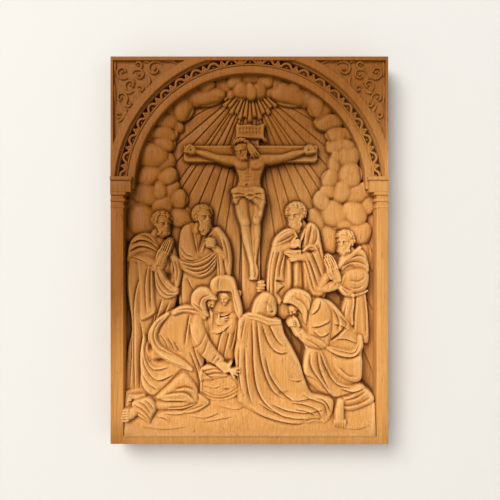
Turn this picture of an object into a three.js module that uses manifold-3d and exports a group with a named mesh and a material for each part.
// Carved wooden relief panel: an arched niche with a crucifixion scene, cut from one board.
// Millimetres, +Z up, front facing -Y. The origin is the middle of the flat back.
import * as THREE from 'three';
import { mergeVertices } from 'three/addons/utils/BufferGeometryUtils.js';
import Module from 'manifold-3d';

const wasm = await Module();
wasm.setup();

// Driving sizes of the board and its niche
const boardThickness = 14;
const nicheDepth = 36;
const nicheHeight = 564;
const ledgeHeight = 12;
const crownHeight = 24;
const nicheHalfWidth = 196;
const leftPilasterWidth = 20;
const rightPilasterWidth = 18;

// Driving sizes of the arch, from the niche outwards
const archRadius = 180.5;
const innerBandWidth = 12.4;
const latticeWidth = 12.4;
const coveWidth = 5;
const outerBandWidth = 13;
const rimWidth = 4;
const topRimWidth = 5.6;
const spandrelRecess = 6;
const latticeRecess = 20;
const innerBandRecess = 5;

// Driving sizes of the mouldings at the springing of the arch
const friezeHeight = 18;
const friezeReach = 12;
const corniceHeight = 6;
const corniceReach = 14;
const filletHeight = 4.5;
const filletReach = 4;
const filletCount = 3;
const filletPitch = 10;
const mouldingSetback = 1.2;

// Driving sizes of the lattice, the scrolls and the clouds
const strapWidth = 2.6;
const latticeStep = 8.4;
const latticeSteps = 9;
const strapOverlap = 1.08;
const scrollWidth = 2.8;
const scrollHeight = 4.5;
const curlSteps = 4;
const curlStepAngle = 66;
const curlShrink = 0.09;

// The scene is carved in shares of the niche height
const unit = nicheHeight / 100;
const panelHeight = ledgeHeight + nicheHeight + crownHeight;
const panelLeft = -nicheHalfWidth - leftPilasterWidth;
const panelRight = nicheHalfWidth + rightPilasterWidth;
const panelBottom = -panelHeight / 2;
const panelTop = panelHeight / 2;
const frontDepth = boardThickness + nicheDepth;
const nicheFoot = panelBottom + ledgeHeight;
const archCentre = nicheFoot + nicheHeight - archRadius;
const rootDepth = 1;
const roundingDepth = 11;
const foldWidth = 3.5;
const bluntShare = 0.6;
const wallBite = 3;
const flatEdge = 0.6;
const broadEdge = 8.5;
const arcSides = 14;

// Places in the scene: u to the right and v up in shares, h from niche floor (0) to frame face (1)
const across = (u) => u * unit;
const up = (v) => nicheFoot + v * unit;
const level = (h) => boardThickness + h * nicheDepth;

// Turns a closed geometry into a solid, with shared corners merged and empty faces dropped
function solid(geometry) {
  const bare = new THREE.BufferGeometry();
  bare.setAttribute('position', geometry.getAttribute('position').clone());
  if (geometry.index) bare.setIndex(geometry.index.clone());
  const merged = mergeVertices(bare, 1e-4);
  const corners = merged.index.array;
  const kept = [];
  for (let i = 0; i < corners.length; i += 3) {
    const [a, b, c] = [corners[i], corners[i + 1], corners[i + 2]];
    if (a !== b && b !== c && a !== c) kept.push(a, b, c);
  }
  return new wasm.Manifold(new wasm.Mesh({
    numProp: 3,
    vertProperties: new Float32Array(merged.getAttribute('position').array),
    triVerts: new Uint32Array(kept),
  }));
}

// How far each corner of an outline can move inwards, along which direction
function insets(points, round) {
  const turn = Math.sign(THREE.ShapeUtils.area(points));
  return points.map((point, i) => {
    const before = points[(i + points.length - 1) % points.length];
    const after = points[(i + 1) % points.length];
    const one = point.clone().sub(before).normalize();
    const two = after.clone().sub(point).normalize();
    const inward = new THREE.Vector2(-one.y - two.y, one.x + two.x).normalize();
    inward.multiplyScalar(turn);
    let room = Infinity;
    points.forEach((a, k) => {
      const b = points[(k + 1) % points.length];
      if (a === point || b === point) return;
      const edge = b.clone().sub(a);
      const gap = a.clone().sub(point);
      const cross = inward.cross(edge);
      if (Math.abs(cross) < 1e-9) return;
      const distance = gap.cross(edge) / cross;
      const share = gap.cross(inward) / cross;
      if (distance > 0 && share >= 0 && share <= 1) room = Math.min(room, distance);
    });
    return inward.multiplyScalar(Math.min(round, room * 0.4));
  });
}

// Stands a drawing in X and Y up against the board, with its front edge rounded over
function carve(shape, front, { round = 0, back = rootDepth, soft = roundingDepth } = {}) {
  const edge = Math.min(soft, front - boardThickness);
  let shares = [0, 0];
  let depths = [back, front];
  if (round > broadEdge) {
    shares = [0, 0, 0.36, 1];
    depths = [back, front - edge, front - edge * 0.36, front];
  } else if (round > 0) {
    shares = [0, 0, 1];
    depths = [back, front - edge, front];
  }
  const geometry = new THREE.ExtrudeGeometry(shape, {
    depth: shares.length - 1, bevelEnabled: false, curveSegments: arcSides, steps: shares.length - 1,
  });
  const points = shape.extractPoints(arcSides).shape;
  const moves = round > 0 ? insets(points, round) : [];
  const place = geometry.getAttribute('position');
  for (let i = 0; i < place.count; i += 1) {
    const layer = Math.round(place.getZ(i));
    const corner = new THREE.Vector2(place.getX(i), place.getY(i));
    if (round > 0 && shares[layer] > 0) {
      const nearest = points.findIndex((point) => point.distanceTo(corner) < 1e-3);
      corner.addScaledVector(moves[nearest], shares[layer]);
    }
    place.setXYZ(i, corner.x, -depths[layer], corner.y);
  }
  return geometry;
}

// Draws a closed outline through the points, with its corners eased
function outline(points, count = points.length) {
  const nodes = points.map(([u, v]) => new THREE.Vector3(across(u), up(v), 0));
  const curve = new THREE.CatmullRomCurve3(nodes, true, 'centripetal');
  const round = curve.getPoints(count).slice(0, -1);
  return new THREE.Shape(round.map((p) => new THREE.Vector2(p.x, p.y)));
}

// Leans the front of a form, in depth shares for each unit across and up
function lean(geometry, [u, v], [acrossSlope, upSlope]) {
  const place = geometry.getAttribute('position');
  for (let i = 0; i < place.count; i += 1) {
    const depth = -place.getY(i);
    if (depth <= boardThickness) continue;
    const shift = acrossSlope * (place.getX(i) / unit - u)
      + upSlope * ((place.getZ(i) - nicheFoot) / unit - v);
    place.setY(i, -Math.max(boardThickness + 1, depth + shift * nicheDepth));
  }
  return geometry;
}

// A mass with a rounded edge: a robe, a torso, a hood
function mass(points, h, { round = 1.2, slope = [0, 0], about = points[0], count } = {}) {
  const eased = round > flatEdge ? round * unit : 0;
  const geometry = carve(outline(points, count), level(h), { round: eased });
  return solid(lean(geometry, about, slope));
}

// A tapering strand along a path: a limb with blunt ends, or a fold with pointed ones
function strand(path, widths, h, { pieces = path.length - 1 } = {}) {
  const places = path.map(([u, v]) => [across(u), up(v)]);
  return bar(places, widths.map((width) => width * unit), level(h), pieces);
}

// The same strand from places and half widths in millimetres
function bar(places, widths, front, pieces) {
  const curve = new THREE.CatmullRomCurve3(
    places.map(([x, z]) => new THREE.Vector3(x, z, 0)), false, 'centripetal');
  const limb = Math.max(...widths) > foldWidth;
  const left = [];
  const right = [];
  for (let i = 0; i <= pieces; i += 1) {
    const t = i / pieces;
    const p = curve.getPoint(t);
    const along = curve.getTangent(t);
    const spot = t * (widths.length - 1);
    const low = Math.min(Math.floor(spot), widths.length - 2);
    const half = THREE.MathUtils.lerp(widths[low], widths[low + 1], spot - low);
    if (!limb && (i === 0 || i === pieces)) {
      left.push(new THREE.Vector2(p.x, p.y));
      continue;
    }
    const end = i === 0 || i === pieces ? bluntShare : 1;
    left.push(new THREE.Vector2(p.x - along.y * half * end, p.y + along.x * half * end));
    right.unshift(new THREE.Vector2(p.x + along.y * half * end, p.y - along.x * half * end));
  }
  const thin = Math.min(...widths) * bluntShare;
  return solid(carve(new THREE.Shape([...left, ...right]), front, {
    round: limb ? thin * 1.2 : 0, soft: Math.min(roundingDepth, thin * 2),
  }));
}

// A mound with straight sides and a domed top: a cloud, a head, a bead
function mound(u, v, halfWidth, halfHeight, h, { sides = 6, tilt = 0, drop = 0.5, rings = 2 } = {}) {
  const front = level(h);
  const dome = drop * Math.min(halfWidth, halfHeight) * unit * 2;
  const skirt = Math.max(front - dome, boardThickness + 0.5);
  const crown = front - skirt;
  const profile = [new THREE.Vector2(0, rootDepth), new THREE.Vector2(1, rootDepth)];
  for (let i = 0; i < rings; i += 1) {
    const angle = (i / rings) * Math.PI / 2;
    profile.push(new THREE.Vector2(Math.cos(angle), skirt + crown * Math.sin(angle) * 1.12));
  }
  profile.push(new THREE.Vector2(0, front));
  const geometry = new THREE.LatheGeometry(profile, sides);
  geometry.scale(halfWidth * unit, 1, halfHeight * unit);
  geometry.rotateX(Math.PI);
  geometry.rotateY(THREE.MathUtils.degToRad(tilt));
  geometry.translate(across(u), 0, up(v));
  return solid(geometry);
}

// A straight-sided block between two corners of the scene or of the frame, in millimetres
function block(left, right, bottom, top, back, front) {
  const geometry = new THREE.BoxGeometry(right - left, front - back, top - bottom);
  geometry.translate((left + right) / 2, -(back + front) / 2, (bottom + top) / 2);
  return solid(geometry);
}

// The space inside the niche, a little wider than its opening
function opening() {
  const side = nicheHalfWidth + wallBite;
  const crown = archRadius + wallBite;
  const shape = new THREE.Shape();
  shape.moveTo(-side, nicheFoot);
  shape.lineTo(side, nicheFoot);
  shape.lineTo(side, archCentre);
  shape.lineTo(crown, archCentre);
  shape.absarc(0, archCentre, crown, 0, Math.PI, false);
  shape.lineTo(-side, archCentre);
  return solid(carve(shape, frontDepth));
}

// Part of a ring about the centre of the arch, cut to the panel's edges by its caller
function ring(inner, outer, back, front) {
  const shape = new THREE.Shape();
  shape.absarc(0, archCentre, outer, 0, Math.PI, false);
  shape.absarc(0, archCentre, inner, Math.PI, 0, true);
  const geometry = new THREE.ExtrudeGeometry(shape, {
    depth: front - back, bevelEnabled: false, curveSegments: arcSides, steps: 1,
  });
  geometry.translate(0, 0, back);
  geometry.rotateX(Math.PI / 2);
  return solid(geometry);
}

// The board, its pilasters, the arch bands and the ledge
function frame() {
  const bandInner = archRadius + innerBandWidth + latticeWidth + coveWidth;
  const bandOuter = bandInner + outerBandWidth;
  const innerFront = frontDepth - innerBandRecess;
  const whole = block(panelLeft, panelRight, panelBottom, panelTop, 0, frontDepth + 1);
  const springing = archCentre;
  const field = new THREE.Shape();
  field.moveTo(panelLeft, springing);
  field.lineTo(panelLeft, panelTop);
  field.lineTo(panelRight, panelTop);
  field.lineTo(panelRight, springing);
  field.lineTo(archRadius + innerBandWidth / 2, springing);
  field.absarc(0, archCentre, archRadius + innerBandWidth / 2, 0, Math.PI, false);
  const spandrels = solid(carve(field, frontDepth - spandrelRecess, { back: rootDepth }));
  const lattice = ring(
    archRadius + 1, bandInner - 1, frontDepth - latticeRecess, frontDepth + 2);
  const pieces = [
    block(panelLeft, panelRight, panelBottom, panelTop, 0, boardThickness),
    spandrels.subtract(lattice),
    ring(archRadius, archRadius + innerBandWidth, rootDepth, innerFront),
    ring(bandInner - coveWidth, bandInner + 1, rootDepth, frontDepth - spandrelRecess),
    ring(bandInner, bandOuter, rootDepth, frontDepth),
    block(panelLeft, -nicheHalfWidth, panelBottom, springing + 2, rootDepth, frontDepth),
    block(nicheHalfWidth, panelRight, panelBottom, springing + 2, rootDepth, frontDepth),
    block(panelLeft, panelLeft + rimWidth, springing, panelTop, rootDepth, frontDepth),
    block(panelRight - rimWidth, panelRight, springing, panelTop, rootDepth, frontDepth),
    block(panelLeft, panelRight, panelTop - topRimWidth, panelTop, rootDepth, frontDepth),
    block(panelLeft, panelRight, panelBottom, nicheFoot, rootDepth, frontDepth),
  ];
  return pieces.reduce((sum, piece) => sum.add(piece)).intersect(whole);
}

// Cornice, frieze and fillets on one pilaster, with their returns into the niche
function mouldings(side) {
  const edge = side < 0 ? panelLeft : panelRight;
  const bar = (reach, bottom, top, front) => {
    const inner = side * (nicheHalfWidth - reach);
    return block(Math.min(edge, inner), Math.max(edge, inner), bottom, top, rootDepth, front);
  };
  const corniceFoot = archCentre + friezeHeight * 0.7;
  const pieces = [
    bar(corniceReach, corniceFoot, corniceFoot + corniceHeight, frontDepth + 2 * mouldingSetback),
    bar(friezeReach, corniceFoot - friezeHeight, corniceFoot, frontDepth + mouldingSetback),
  ];
  for (let i = 0; i < filletCount; i += 1) {
    const top = corniceFoot - friezeHeight - i * filletPitch;
    const shrink = i / filletCount;
    pieces.push(bar(filletReach * (1 - shrink), top - filletHeight, top,
      frontDepth + mouldingSetback * (1 - shrink)));
  }
  return pieces;
}

// Looping straps in the groove between the two bands, cut off where the board ends
function latticeBand() {
  const board = block(panelLeft, panelRight, panelBottom, panelTop, 0, frontDepth);
  const pieces = [];
  const floor = frontDepth - latticeRecess;
  const inner = archRadius + innerBandWidth;
  const spot = (radius, degrees) => {
    const angle = THREE.MathUtils.degToRad(degrees);
    return [radius * Math.sin(angle), archCentre + radius * Math.cos(angle)];
  };
  for (let k = -latticeSteps; k <= latticeSteps; k += 1) {
    const middleAngle = k * latticeStep;
    const outerEdge = [];
    const innerEdge = [];
    for (let i = 0; i <= 2; i += 1) {
      const t = i / 2;
      const angle = middleAngle + (t - 0.5) * latticeStep * strapOverlap;
      const rise = Math.sin(Math.PI * t) * latticeWidth * 0.7;
      outerEdge.push(new THREE.Vector2(...spot(inner + rise + strapWidth / 2, angle)));
      innerEdge.unshift(new THREE.Vector2(...spot(inner + rise - strapWidth / 2, angle)));
    }
    const strap = new THREE.Shape([...outerEdge, ...innerEdge]);
    pieces.push(solid(carve(strap, frontDepth - innerBandRecess - 2, { back: floor - 2 })));
  }
  return [pieces.reduce((sum, piece) => sum.add(piece)).intersect(board)];
}

// Curling tendrils in both upper corners: from the side, from the top, radius and first angle
function scrolls() {
  const curls = [
    [18, 23, 12, 40], [42, 21, 12, 150], [68, 18, 13.5, 330], [30, 43, 9.6, 100],
    [16, 63, 10.7, 60], [44, 47, 6.2, 200], [13, 89, 5, 30],
  ];
  const pieces = [];
  const front = frontDepth - spandrelRecess + scrollHeight;
  const half = scrollWidth / 2;
  for (const [fromSide, fromTop, radius, start] of curls) {
    for (const side of [-1, 1]) {
      const middle = side < 0 ? panelLeft + fromSide : panelRight - fromSide;
      const places = [];
      for (let i = 0; i <= curlSteps; i += 1) {
        const angle = THREE.MathUtils.degToRad(start + i * curlStepAngle);
        const size = radius * (1 - i * curlShrink);
        places.push([middle - side * size * Math.cos(angle), panelTop - fromTop + size * Math.sin(angle)]);
      }
      pieces.push(bar(places, [half, half, half * 0.8], front, curlSteps));
    }
  }
  return pieces;
}

// Planks of light fanning out from the crown, at stepped depths
function rays() {
  const source = [0, 98.5];
  const edges = [3, 9.3, 13.5, 18, 23, 28, 33, 36, 43, 50, 59, 68];
  const reach = 92;
  const pieces = [];
  const plank = (from, to, start, end, h) => {
    const corner = (radius, degrees) => {
      const angle = THREE.MathUtils.degToRad(degrees);
      return new THREE.Vector2(across(source[0] + radius * Math.sin(angle)),
        up(source[1] - radius * Math.cos(angle)));
    };
    const shape = new THREE.Shape([
      corner(start, from), corner(end, from), corner(end, to), corner(start, to)]);
    return solid(carve(shape, level(h)));
  };
  for (const side of [-1, 1]) {
    for (let i = 1; i + 1 < edges.length; i += 2) {
      const [from, to] = side > 0 ? [edges[i], edges[i + 1]] : [-edges[i + 1], -edges[i]];
      const end = Math.min(reach, 36 / Math.sin(THREE.MathUtils.degToRad(edges[i + 1])));
      pieces.push(plank(from, to, 3, end, 0.09));
    }
  }
  pieces.push(plank(-edges[0], edges[0], 3, 60, 0.09));
  const petals = 11;
  const spread = 130;
  for (let i = 0; i < petals; i += 1) {
    const from = -spread / 2 + (i * spread) / petals;
    const length = 10 + 1.2 * Math.cos(THREE.MathUtils.degToRad(from * 2));
    pieces.push(plank(from + 0.5, from + spread / petals - 0.5, 2, length, i % 2 ? 0.24 : 0.3));
  }
  return pieces;
}

// Billows that line the niche: centre, half width, half height
function clouds() {
  const billows = [
    [0.2, 95.6, 1.5, 1.9], [-3, 96.8, 2.5, 2.5], [3.1, 96.8, 2.5, 2.5],
    [-12, 95.6, 4.6, 3], [-18.6, 91.6, 2.6, 3], [-22.6, 87.4, 2.9, 2.4], [-25, 82.4, 3.3, 2.9],
    [-27, 77.2, 3.4, 3.5], [-27.6, 72, 3.2, 2.8], [-29, 67, 4, 2.7],
    [-23, 68, 3, 3], [-24.8, 62.6, 3.2, 3.2],
    [-30.8, 59.4, 3.8, 4.6], [-19.5, 60.2, 3, 2.8], [12.4, 95.2, 4.2, 2.8], [18, 92.4, 2.4, 2.8],
    [21.8, 87.6, 2.9, 2.6], [25, 82.2, 3.2, 2.6], [27, 77.4, 2.4, 3],
    [27.6, 71.8, 3, 2.8], [22.4, 67.4, 2.4, 3.2], [28.4, 66.8, 3.9, 2.7],
    [24.4, 61.2, 3.1, 3.4], [18.7, 59, 2.4, 3], [30, 60.4, 3, 3.6], [22.5, 54, 2.8, 3.2],
  ];
  const bank = [-1, 1].map((side) => mass([[side * 36, 48], [side * 36, 70], [side * 32, 82],
    [side * 22, 95], [side * 10, 101], [side * 1, 99], [side * 9, 95], [side * 18.6, 89],
    [side * 25, 76], [side * 21.6, 66], [side * 18.4, 60], [side * 22, 48]], 0.2));
  const heap = [...bank, ...billows.map(([u, v, halfWidth, halfHeight], i) => {
    const h = 0.34 + 0.05 * Math.min(halfWidth, halfHeight) + 0.05 * (i % 3);
    const swell = 1.12;
    return mound(u, v, halfWidth * swell, halfHeight * swell, h, { tilt: 11 * i });
  })];
  return [heap.reduce((sum, piece) => sum.add(piece)).intersect(opening())];
}

// Head with hair and beard; look is -1 to the left and 1 to the right
function head(u, v, size, h, { look = 0, hair = true, beard = 1 } = {}) {
  const face = u + 0.2 * look * size;
  const pieces = [
    mound(face, v, 0.74 * size, 1.05 * size, h),
    strand([[face + 0.2 * look * size, v + 0.35 * size], [face + 0.3 * look * size, v - 0.15 * size]],
      [0.06 * size, 0.16 * size], h + 0.04),
  ];
  if (hair) {
    pieces.push(mound(u - 0.2 * look * size, v + 0.5 * size, 1.02 * size, 0.78 * size, h - 0.06));
    pieces.push(mound(u - 0.75 * look * size, v - 0.1 * size, 0.5 * size, 0.75 * size, h - 0.1,
      { sides: 6 }));
  }
  if (beard > 0) {
    pieces.push(mound(u + 0.3 * look * size, v - 0.95 * size, 0.55 * size, 0.65 * size * beard,
      h - 0.02, { sides: 6 }));
  }
  return pieces;
}

// Cross with its board for the inscription, which holds rows of plain strokes
function cross() {
  const pieces = [
    block(across(-2.3), across(2.9), up(30), up(80.5), rootDepth, level(0.34)),
    block(across(-1), across(2.6), up(79), up(84), rootDepth, level(0.3)),
    block(across(-18.6), across(19), up(76), up(80.5), rootDepth, level(0.38)),
    mass([[-3.8, 86.4], [0.3, 86.1], [4.2, 86.5], [3.9, 84], [4.7, 81.8], [3.2, 82.3],
      [-3.3, 82.5], [-4.6, 81.9], [-3.9, 84]], 0.46, { round: 0.12, count: 18 }),
  ];
  for (let row = 0; row < 2; row += 1) {
    for (let i = 0; i < 3; i += 1) {
      const u = -2.6 + i * 2.4;
      const v = 85 - row * 1.5;
      pieces.push(block(across(u), across(u + 0.35), up(v - 0.45), up(v + 0.45),
        level(0.4), level(0.48)));
    }
  }
  return pieces;
}

// Crucified figure with its cloth
function crucified() {
  return [
    mass([[-5.2, 76.9], [-1.5, 77.3], [2.2, 77.6], [4.6, 77.3], [4.1, 75], [3.3, 72.6],
      [2.8, 70.6], [3.2, 68], [3.9, 65.5], [-4.4, 65.5], [-4.2, 68], [-3.4, 70], [-3.8, 72],
      [-4.6, 74.8]], 0.72, { round: 1.3 }),
    mound(-2, 74.6, 1.9, 1.5, 0.77), mound(1.6, 74.8, 1.9, 1.5, 0.77),
    strand([[-4.2, 76], [-9, 76.5], [-12.4, 77.8], [-15.4, 79.2]], [1.3, 1.15, 0.95, 0.6], 0.66),
    strand([[3.8, 76.5], [8.6, 76.8], [12, 77.8], [15.4, 79.3]], [1.4, 1.2, 0.95, 0.6], 0.66),
    mound(-16.4, 79.7, 1.7, 1, 0.62, { tilt: 15 }), mound(16.8, 79.6, 1.8, 1, 0.62, { tilt: -15 }),
    mass([[-4.5, 65.5], [-0.4, 65.5], [0.3, 61], [0.4, 57], [-0.2, 57.6], [-2.2, 57.8],
      [-3.3, 60]], 0.82, { round: 1.2, slope: [0, -0.004] }),
    mass([[-0.1, 65], [3.8, 65], [3.5, 61], [2.8, 58], [1.6, 57], [0.4, 58]], 0.74,
      { round: 1 }),
    strand([[-1.4, 59], [-0.5, 54], [0.3, 49], [0.8, 46]], [1.5, 1.25, 0.85, 0.75], 0.78),
    strand([[1.7, 58.6], [1.7, 53], [1.2, 48]], [1.3, 1.1, 0.8], 0.62),
    mass([[-0.1, 47], [1.4, 47], [2, 44.8], [1.6, 43.3], [0.6, 43.5], [0.1, 45]], 0.72,
      { round: 0.5 }),
    mass([[-5.1, 68.3], [-2, 68.9], [1.4, 68.6], [3.9, 67.4], [4.1, 65], [3.6, 62.8],
      [3.3, 60.2], [2.5, 60.5], [2.5, 62.4], [0.6, 64.9], [-1.8, 65.6], [-3.8, 64],
      [-4.8, 65.8]], 0.86, { round: 0.5 }),
    strand([[-4.8, 66.6], [-2.5, 67.8], [0.2, 67], [1.6, 67.8]], [0.3, 0.55, 0.5, 0.3], 0.93),
    strand([[0.2, 66], [2.2, 64], [3.2, 61.4]], [0.5, 0.5, 0.35], 0.92),
    ...head(-1.8, 79, 2.4, 0.98, { look: -0.3, hair: false, beard: 0.9 }),
    strand([[-4.6, 80.4], [-2.3, 81.6], [0.4, 81]], [0.55, 0.7, 0.55], 1.0),
    strand([[0, 81], [1, 79.2], [2.6, 77.4]], [0.7, 0.8, 0.5], 0.88),
  ];
}

// Bearded man at the far left with joined hands
function prayingMan() {
  return [
    mass([[-33, 53.5], [-30, 55.6], [-25.6, 55.4], [-21.4, 52.5], [-20, 47], [-20.4, 40],
      [-21.6, 33], [-24, 26], [-27.5, 12], [-33.8, 12], [-34, 30], [-34.6, 42], [-34.2, 48]],
      0.66, { round: 1.6, slope: [-0.002, 0.002], about: [-27, 45] }),
    mass([[-31.5, 48.5], [-27, 48.2], [-26.3, 44], [-26.5, 34], [-30.3, 32], [-31.2, 40]],
      0.8, { round: 1 }),
    mass([[-26.2, 46.5], [-22.8, 47], [-20.3, 44], [-20.2, 39.5], [-22.5, 37.4], [-25, 39],
      [-26, 43]], 0.82, { round: 1.1 }),
    strand([[-25.3, 46.8], [-24, 50.5], [-22.4, 54]], [1.3, 1.2, 0.6], 0.94),
    strand([[-22.8, 47.5], [-22.6, 51], [-22.2, 54]], [0.9, 0.8, 0.5], 0.88),
    strand([[-31.5, 53], [-28.5, 50], [-27, 48.4]], [1, 1.3, 0.9], 0.82),
    strand([[-25.6, 54.6], [-23.4, 51.5], [-21, 49]], [0.7, 0.6, 0.5], 0.8),
    strand([[-31.8, 46], [-32.8, 36], [-32, 20]], [0.5, 0.5, 0.4], 0.74),
    strand([[-28.4, 47], [-28.6, 41], [-28.2, 34]], [0.4, 0.45, 0.4], 0.85),
    strand([[-24.8, 45], [-23.4, 41.6], [-20.8, 40]], [0.5, 0.6, 0.4], 0.92),
    strand([[-22.2, 36], [-24, 29], [-25, 22]], [0.4, 0.5, 0.4], 0.72),
    mass([[-27.6, 56.6], [-24.3, 56.6], [-24.6, 53.4], [-27.2, 53.4]], 0.72, { round: 0.6 }),
    ...head(-24.8, 58.2, 2.7, 0.96, { look: 0.6 }),
  ];
}

// Bearded man left of the cross with a fist on his chest
function mantledMan() {
  return [
    mass([[-19.2, 55.5], [-16.4, 58.6], [-13, 57.6], [-9.2, 57], [-6.7, 53], [-5.9, 48],
      [-6.2, 43], [-8.4, 37], [-12, 34.5], [-18.5, 35], [-19.8, 42], [-19.6, 50]],
      0.6, { round: 1.5 }),
    mass([[-19.3, 55.4], [-17.6, 57.6], [-15.6, 54.6], [-15, 49], [-17, 46.6], [-19.4, 47.5]],
      0.72, { round: 1.1 }),
    mass([[-19.6, 48], [-15.8, 47.6], [-12, 49.6], [-8.8, 51], [-8.2, 48], [-11, 45],
      [-15, 42.5], [-18.8, 43.4]], 0.78, { round: 0.8 }),
    ...[0, 1.4, 2.8].map((i) => strand(
      [[-19.2, 47.4 - i], [-15.4, 45.8 - i * 0.9], [-11.6, 47.6 - i * 0.8], [-9.2, 50.6 - i]],
      [0.3, 0.42, 0.4, 0.25], 0.84)),
    strand([[-9.2, 56.4], [-7.4, 52.6], [-7, 48], [-7.1, 44]], [1.1, 1.1, 0.9, 0.7], 0.72),
    mound(-10.9, 53, 1.5, 1.4, 0.86), strand([[-10.4, 52], [-8.2, 49.6]], [1, 1.1], 0.8),
    ...[-16.6, -13.4, -10].map((u) => strand(
      [[u, 43], [u - 0.4, 39.5], [u - 0.8, 36]], [0.35, 0.45, 0.4], 0.68)),
    ...head(-13.2, 59.6, 2.8, 0.92, { look: 0.55, beard: 1.3 }),
  ];
}

// Bearded man right of the cross with crossed hands and a wide cloak
function cloakedMan() {
  return [
    mass([[6.6, 53.6], [9.2, 57], [13, 57.6], [17.8, 58], [19.6, 52.5], [21.2, 46], [21, 38],
      [17, 33], [8, 34], [4.8, 37.5], [4.9, 45]], 0.62, { round: 1.5 }),
    mass([[7, 53.4], [10, 52.8], [9.8, 48], [9.6, 42], [8.4, 38], [5, 38], [5, 46]],
      0.76, { round: 0.9 }),
    mass([[15.4, 56.6], [18.6, 56.8], [19.4, 52.5], [21.2, 45.5], [20.4, 39], [17.6, 38.6],
      [15.6, 46], [15, 51.6]], 0.76, { round: 1.1 }),
    ...[0, 1, 2].map((i) => strand(
      [[6 + i * 1.5, 51.6], [5.8 + i * 1.4, 46], [6 + i * 1.2, 39.5]], [0.3, 0.42, 0.35], 0.84)),
    ...[0, 1, 2].map((i) => strand(
      [[15 + i * 1.5, 50.6 + i], [17 + i * 1.3, 45], [18.4 + i, 39.6]], [0.3, 0.5, 0.35], 0.83)),
    ...[0, 2].map((i) => strand(
      [[10.6 + i * 1.5, 47.6], [10.8 + i * 1.5, 43.6], [10.8 + i * 1.6, 40.4]],
      [0.35, 0.4, 0.35], 0.74)),
    mound(12.4, 52.8, 1.9, 1.5, 0.9), mound(12, 49.7, 1.7, 1, 0.84),
    strand([[8.2, 51.4], [11, 52.4]], [1.2, 1], 0.86),
    strand([[16, 49.6], [13, 49.8]], [1.3, 1], 0.84),
    ...head(12.8, 60.4, 2.8, 0.94, { look: -0.4, beard: 1.3 }),
  ];
}

// Bearded friar at the right with joined hands, hood and rope belt
function friar() {
  return [
    mass([[24.6, 46.4], [28, 48.4], [31.6, 49.8], [32.8, 45.5], [32.4, 40], [33, 26],
      [25.4, 25.5], [25.6, 33], [27, 39.5], [24, 43]], 0.68, { round: 1.4 }),
    mass([[24.6, 46.2], [27.2, 48.6], [31.8, 50.4], [33, 46], [30.4, 45.6], [27, 44.8]],
      0.8, { round: 0.9 }),
    strand([[20, 41.2], [23.4, 42.2], [27, 43.6]], [1.1, 1.4, 1.1], 0.86),
    mass([[24.4, 42.4], [27.6, 42.4], [29.6, 40.6], [27.4, 38.6], [25, 40]], 0.84, { round: 0.7 }),
    strand([[23.6, 44], [22.4, 47], [21.4, 50]], [1.2, 1.1, 0.5], 0.92),
    strand([[27.4, 38.5], [30, 38.9], [32.4, 39.4]], [0.4, 0.4, 0.4], 0.8),
    strand([[28.4, 38], [28.2, 31]], [0.3, 0.3], 0.76),
    ...[29.8, 31.4].map((u) => strand([[u, 37.6], [u + 0.2, 31.6], [u, 26.4]],
      [0.35, 0.45, 0.35], 0.74)),
    ...head(26.8, 53, 2.7, 0.96, { look: -0.5 }),
  ];
}

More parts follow.
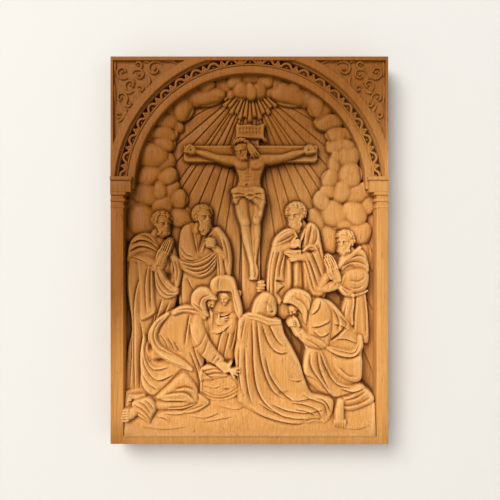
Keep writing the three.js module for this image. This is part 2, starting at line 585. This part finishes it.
// Kneeling hooded man at the front left who reaches out his hand
function kneelingMan() {
  return [
    mass([[-16.6, 36.4], [-20.6, 34.4], [-24.8, 31.8], [-28.8, 26], [-29.8, 21], [-28, 13],
      [-26, 8], [-14, 7.6], [-13, 14], [-12.6, 20], [-11.4, 28], [-11.8, 33.4]],
      0.86, { round: 1.8 }),
    mass([[-16.4, 37.4], [-15, 40.4], [-12, 41], [-10, 39], [-9.2, 37.6], [-9.9, 34.6],
      [-12.4, 33], [-15.8, 33.6]], 1.04, { round: 1.2 }),
    strand([[-24.6, 32.2], [-20.6, 34], [-16, 34.8], [-12.2, 33.2]], [0.6, 0.8, 0.8, 0.5], 0.98),
    strand([[-15, 33.4], [-14, 27.2], [-11.6, 24], [-7.8, 20.6]], [2.1, 2.2, 1.9, 1.4], 1.04),
    mass([[-8.4, 21], [-6.4, 20.6], [-4, 18.2], [-5, 16.6], [-8, 18.6]], 1.02, { round: 0.5 }),
    ...[0, 1.5, 3].map((i) => strand(
      [[-6.2 + i * 0.1, 19.9 - i * 0.8], [-3.4 - i * 0.35, 18.4 - i * 0.85]],
      [0.3, 0.22], 1.03, { pieces: 2 })),
    strand([[-21.4, 34.4], [-25.6, 30.4], [-27, 26], [-24.6, 21.6], [-19.4, 19], [-15.4, 18.6]],
      [0.6, 1, 1.1, 1.1, 0.9, 0.5], 1.02),
    strand([[-29.2, 27], [-28.6, 21.8], [-25.6, 17.8], [-20.6, 18.2]],
      [0.6, 0.8, 0.8, 0.5], 0.94),
    ...[0, 2].map((i) => strand(
      [[-24 + i * 1.4, 29.6 - i * 0.8], [-22 + i * 1.4, 25 - i * 0.6], [-17.8 + i, 22.6 - i * 0.6]],
      [0.3, 0.4, 0.3], 0.96)),
    ...[0, 2].map((i) => strand(
      [[-16.8 - i * 1.2, 17.6 - i], [-20.4 - i, 14.6 - i], [-24 - i * 0.8, 10.8]],
      [0.35, 0.5, 0.35], 0.97)),
    strand([[-26, 7.6], [-20.6, 9.4], [-15.6, 10.4]], [1.8, 2.2, 2], 1.02),
    mass([[-32, 9.6], [-28, 10.6], [-25.4, 8], [-26, 4], [-30.6, 3.6], [-32, 6]],
      1.06, { round: 0.8 }),
    mass([[-31.6, 8], [-34, 8], [-35.4, 6], [-34.8, 4.2], [-31.8, 4]], 1.04, { round: 0.7 }),
    mound(-32.6, 10.2, 1.6, 1.1, 0.9),
    mass([[-26.4, 5.4], [-22, 3.4], [-17.6, 5.4], [-11.4, 9], [-13, 11], [-20, 8], [-25, 7]],
      0.96, { round: 0.5 }),
    mass([[-18, 5], [-13, 3.4], [-7, 4.6], [-2.8, 5], [-7.6, 6.8], [-13, 6.6]],
      0.78, { round: 0.4 }),
    ...head(-10.6, 36, 1.4, 0.9, { look: 0.5, hair: false, beard: 0 }),
  ];
}

// Veiled woman crouching at the middle, with a hand on her breast
function veiledWoman() {
  return [
    mass([[-11.6, 35], [-8.6, 33], [-4.6, 33.6], [-2.6, 29], [-3.2, 24], [-5, 21], [-11, 21],
      [-12.4, 28]], 0.72, { round: 1.4 }),
    mass([[-10.8, 41], [-9.4, 43.6], [-6.4, 44], [-3.8, 42.4], [-3.2, 40], [-6, 39.6],
      [-9.6, 39.4]], 0.84, { round: 1 }),
    strand([[-4.6, 41], [-3, 37], [-2.4, 33]], [0.8, 1, 0.7], 0.78),
    strand([[-9.4, 42], [-7.6, 41.4], [-4.8, 42]], [0.3, 0.4, 0.3], 0.9),
    ...head(-7.2, 37.4, 1.7, 0.8, { look: -0.4, hair: false, beard: 0 }),
    mass([[-10.6, 32.6], [-7.6, 33], [-6.2, 31], [-8, 29.8], [-10.6, 30.4]], 0.84, { round: 0.5 }),
    ...[0, 1, 2].map((i) => strand([[-9 + i * 1.7, 28.6], [-9.4 + i * 1.7, 24.6], [-8.6 + i, 21.6]],
      [0.3, 0.4, 0.3], 0.79)),
    mound(3, 41.4, 1.3, 0.8, 0.5), mound(-3.2, 38.8, 0.9, 1.3, 0.56),
  ];
}

// Bundle and worn stone on the ground before the cross
function stone() {
  return [
    mass([[-14.6, 13], [-12.6, 10.2], [-8, 9.2], [-4, 11.4], [-2.6, 13.6], [-5, 16], [-11, 16]],
      0.8, { round: 0.5 }),
    mass([[-13.6, 13.6], [-11.6, 11.8], [-8, 11], [-4.6, 12.4], [-4, 14.6], [-10, 15.6]],
      0.86, { round: 0.4 }),
    mass([[-14, 15], [-9, 14.6], [-6, 16.4], [-8.4, 18.4], [-13.4, 18.8]], 0.84, { round: 0.8 }),
    ...[0, 1].map((i) => strand([[-13.4, 16 + i], [-10.4, 15.9 + i], [-7.6, 16.8 + i * 0.6]],
      [0.25, 0.3, 0.25], 0.9)),
  ];
}

// Cloaked woman seen from behind, her mantle sweeping to the right
function mourner() {
  const sweep = (u, foot, end) => strand(
    [[u, 32 - Math.abs(u) * 0.2], [u + 0.6 + (foot - u) * 0.2, 23],
      [u + 1 + (foot - u) * 0.55, 13], [foot, end]], [0.25, 0.5, 0.6, 0.35], 1.06);
  return [
    mass([[-2.6, 32.6], [0.2, 34], [8.3, 32], [10.6, 26], [13.4, 20.6], [15, 14.4], [18, 10.6],
      [22, 8], [21, 4.2], [14.6, 2.8], [8, 3.6], [2, 5.6], [-3, 9], [-3.6, 15], [-4.2, 23],
      [-3.4, 28]], 0.98, { round: 1.5, slope: [-0.002, -0.001], about: [4, 20] }),
    mound(4, 36.4, 3.2, 3.2, 1.04, { sides: 8, rings: 3 }),
    mass([[0.4, 36], [1, 33.6], [4.4, 33], [7.2, 34.6], [7, 37]], 0.96, { round: 0.7 }),
    strand([[-0.6, 33], [3.4, 32.4], [6, 31.6], [8.2, 32]], [0.5, 0.7, 0.7, 0.4], 1.1),
    mass([[-2.8, 32.2], [-0.8, 32.2], [-0.8, 26], [-2.4, 24.6], [-4, 23]], 1.02, { round: 0.8 }),
    sweep(-1.6, -1.6, 9), sweep(0.8, 1.6, 7), sweep(1.6, 5, 6), sweep(2.6, 9, 5),
    sweep(4, 13, 4.4), sweep(5.6, 16, 7.4), sweep(6.8, 17, 10.8),
    strand([[11, 8.4], [15.6, 7.6], [20.6, 9.4]], [0.5, 0.9, 0.6], 1.04),
    strand([[12, 5.4], [16, 5.4], [20, 6.4]], [0.4, 0.7, 0.5], 1.02),
    mass([[-3.6, 9], [1.6, 5.4], [8, 3.6], [14.6, 2.4], [17.6, 2.4], [14, 4.6], [6, 6.4],
      [0, 9.6]], 0.92, { round: 0.4 }),
  ];
}

// Kneeling hooded figure at the right with clasped hands
function kneelingFigure() {
  return [
    mass([[15.4, 37.4], [20, 38], [24, 35.2], [28, 30], [30.8, 24.6], [30.6, 18], [29.4, 13.6],
      [24, 9.8], [17.4, 11.4], [15, 17], [15.6, 24], [13, 29], [14, 34]], 0.84, { round: 1.8 }),
    mass([[9.4, 36.8], [10.6, 39.4], [13.6, 40.8], [16.6, 39.4], [17.8, 35.6], [16, 32.6],
      [13.8, 33.4], [12.4, 35.6]], 1.0, { round: 1.2 }),
    ...head(12, 34, 1.6, 0.86, { look: -0.3, hair: false, beard: 0 }),
    mass([[16, 36.4], [20.4, 37.4], [23.2, 33], [23, 26], [20, 23.8], [16.6, 25], [15.4, 30]],
      1.0, { round: 1.3 }),
    strand([[20, 26], [16.4, 27.6], [13.2, 29.6]], [2, 1.8, 1.2], 1.06),
    mass([[10, 31.6], [12.6, 32.4], [14.2, 30.6], [13, 28.4], [10.8, 28.6]], 1.0, { round: 0.6 }),
    strand([[22.4, 26.4], [25, 28.2], [27.4, 29.6]], [0.4, 0.4, 0.3], 0.92),
    strand([[30.4, 26.4], [28.8, 23], [25, 23.4], [21, 24.6]], [0.8, 1, 0.9, 0.5], 0.98),
    ...[0, 1.5, 3].map((i) => strand(
      [[18.6 + i * 1.6, 22.6 - i * 0.4], [19.8 + i * 1.7, 17], [21.2 + i * 1.6, 11.4 + i * 0.6]],
      [0.35, 0.5, 0.35], 0.93)),
    mass([[25.4, 11.6], [31.8, 13.4], [34, 9.8], [29.6, 6.8], [24.6, 6.8]], 0.98, { round: 1 }),
    mass([[22.6, 10], [26, 9.6], [26.2, 4.4], [25.8, 2.4], [23.6, 2.2], [23.2, 5]],
      1.06, { round: 0.6 }),
    strand([[16, 10.4], [19, 10.8], [22.6, 9.4]], [0.8, 1, 0.6], 1.0),
    ...[0, 1].map((i) => strand([[17.6 + i * 2.4, 34], [17.2 + i * 2.6, 30], [18.6 + i * 1.8, 26.4]],
      [0.3, 0.4, 0.3], 1.06)),
  ];
}

// Ground that slopes up from the ledge to the feet of the standing figures
function ground() {
  const geometry = carve(outline([
    [-34.6, 0.2], [34.8, 0.2], [34.8, 9], [20, 13], [0, 14], [-20, 13], [-34.6, 10]]),
  level(0.72));
  return [solid(lean(geometry, [0, 1], [0, -0.022]))];
}

const carving = [
  frame(), ...mouldings(-1), ...mouldings(1), ...latticeBand(), ...scrolls(), ...rays(),
  ...clouds(), ...cross(), ...crucified(), ...prayingMan(), ...mantledMan(), ...cloakedMan(),
  ...friar(), ...ground(), ...veiledWoman(), ...stone(), ...kneelingMan(), ...kneelingFigure(),
  ...mourner(),
].reduce((sum, piece) => sum.add(piece));

const { vertProperties, triVerts } = carving.getMesh();
const panelGeometry = new THREE.BufferGeometry();
panelGeometry.setAttribute('position', new THREE.BufferAttribute(vertProperties, 3));
panelGeometry.setIndex(new THREE.BufferAttribute(triVerts, 1));
panelGeometry.computeVertexNormals();

const honeyWood = new THREE.MeshStandardMaterial({ color: 0xb98048, roughness: 0.55, metalness: 0 });
const panel = new THREE.Mesh(panelGeometry, honeyWood);
panel.name = 'carved_panel';

const relief = new THREE.Group();
relief.add(panel);

export default relief;
